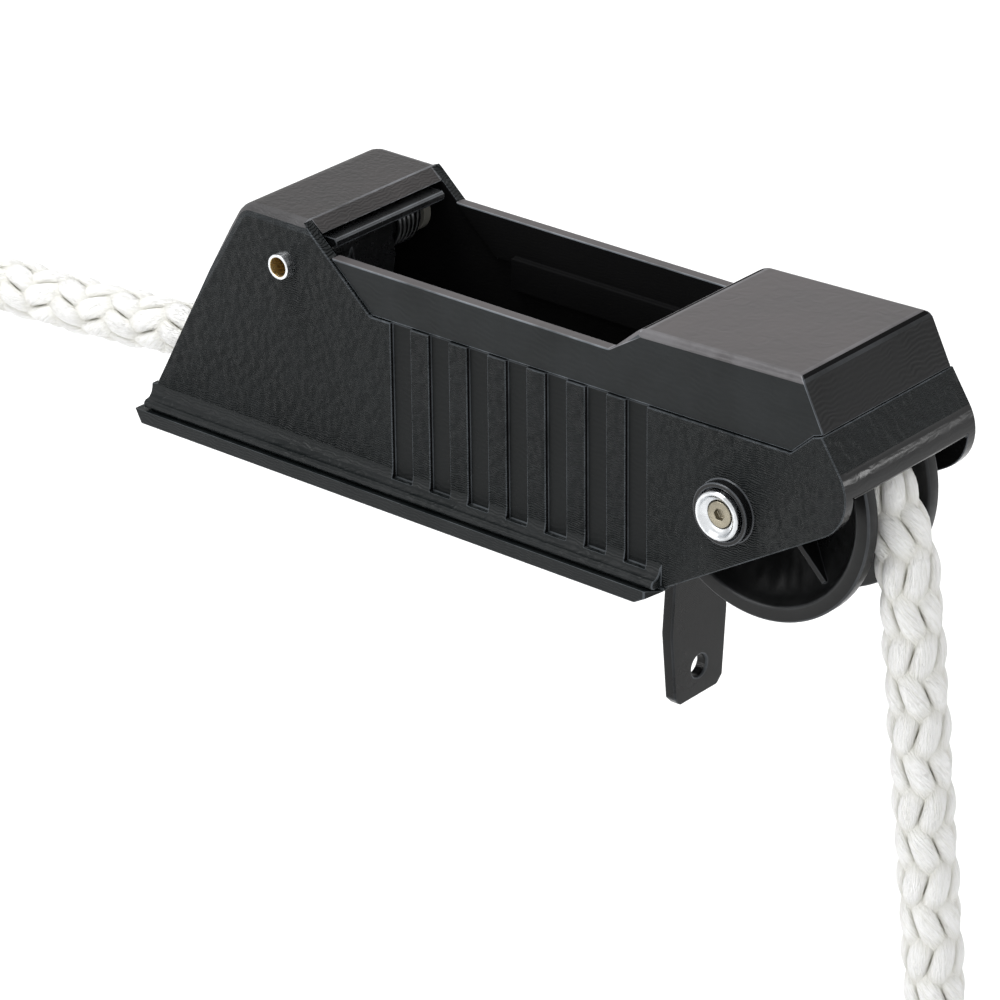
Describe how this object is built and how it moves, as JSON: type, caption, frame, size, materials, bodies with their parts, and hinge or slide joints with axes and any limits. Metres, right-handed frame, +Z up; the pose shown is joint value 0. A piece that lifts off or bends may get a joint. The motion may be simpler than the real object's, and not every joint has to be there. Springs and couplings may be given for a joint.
{
  "type": "bow fairlead with rope lock",
  "caption": "Boat bow fairlead: a moulded housing with a front sheave, a sprung rope-locking cam under a rear hood, and the anchor rope led through it.",
  "frame": {"origin": "middle of the four deck-bolt holes, on the flat underside of the base plate", "axes": "+X forward to the nose and the sheave, +Z up from the deck, +Y to the port side"},
  "size_m": [0.4022, 0.0558, 0.2299],
  "materials": {
    "grained_plastic": "fine moulded leather grain",
    "smooth_plastic": "smooth satin moulding",
    "base_plastic": "smooth satin moulding",
    "leg_metal": "satin black coating",
    "sheave_plastic": "satin, worn bright in the groove",
    "cam_plastic": "smooth",
    "stainless": "bright",
    "polished": "polished",
    "brass": "dull nickelled",
    "bronze": "turned",
    "nylon": "grey",
    "rope": "plaited"
  },
  "bodies": {
    "root": {"housing": "grained_plastic", "top_cover": "smooth_plastic", "base_plate": "base_plastic", "front_leg": "leg_metal", "leg_rivets": "stainless", "housing_screws": "stainless", "sheave_washer_near": "nylon", "sheave_washer_far": "nylon", "axle_tube": "stainless", "axle_screws": "brass", "axle_cup_near": "polished", "axle_cup_far": "polished", "cam_pin": "polished", "cam_washer_near": "nylon", "cam_washer_far": "nylon", "cam_spring": "stainless", "jaw_plate": "stainless", "jaw_screws": "stainless", "rope_inner": "rope", "rope_fall": "rope", "rope_tail": "rope", "fall_eye": "rope", "thimble": "stainless", "tail_eye": "rope"},
    "wheel": {"sheave": "sheave_plastic", "sheave_bush": "bronze"},
    "cam": {"rope_cam": "cam_plastic"}
  },
  "joints": [
    {"name": "sheave_spin", "type": "hinge", "parent": "root", "child": "wheel", "pos_m": [0.0752, 0, 0.0281], "axis": [0, 1, 0], "continuous": true},
    {"name": "cam_pivot", "type": "hinge", "parent": "root", "child": "cam", "pos_m": [-0.0533, 0, 0.0524], "axis": [0, 1, 0], "range_deg": [0, 30], "stiffness_Nm_per_rad": 0.04, "springref_deg": -22.92, "deforming": ["cam_spring"]}
  ]
}
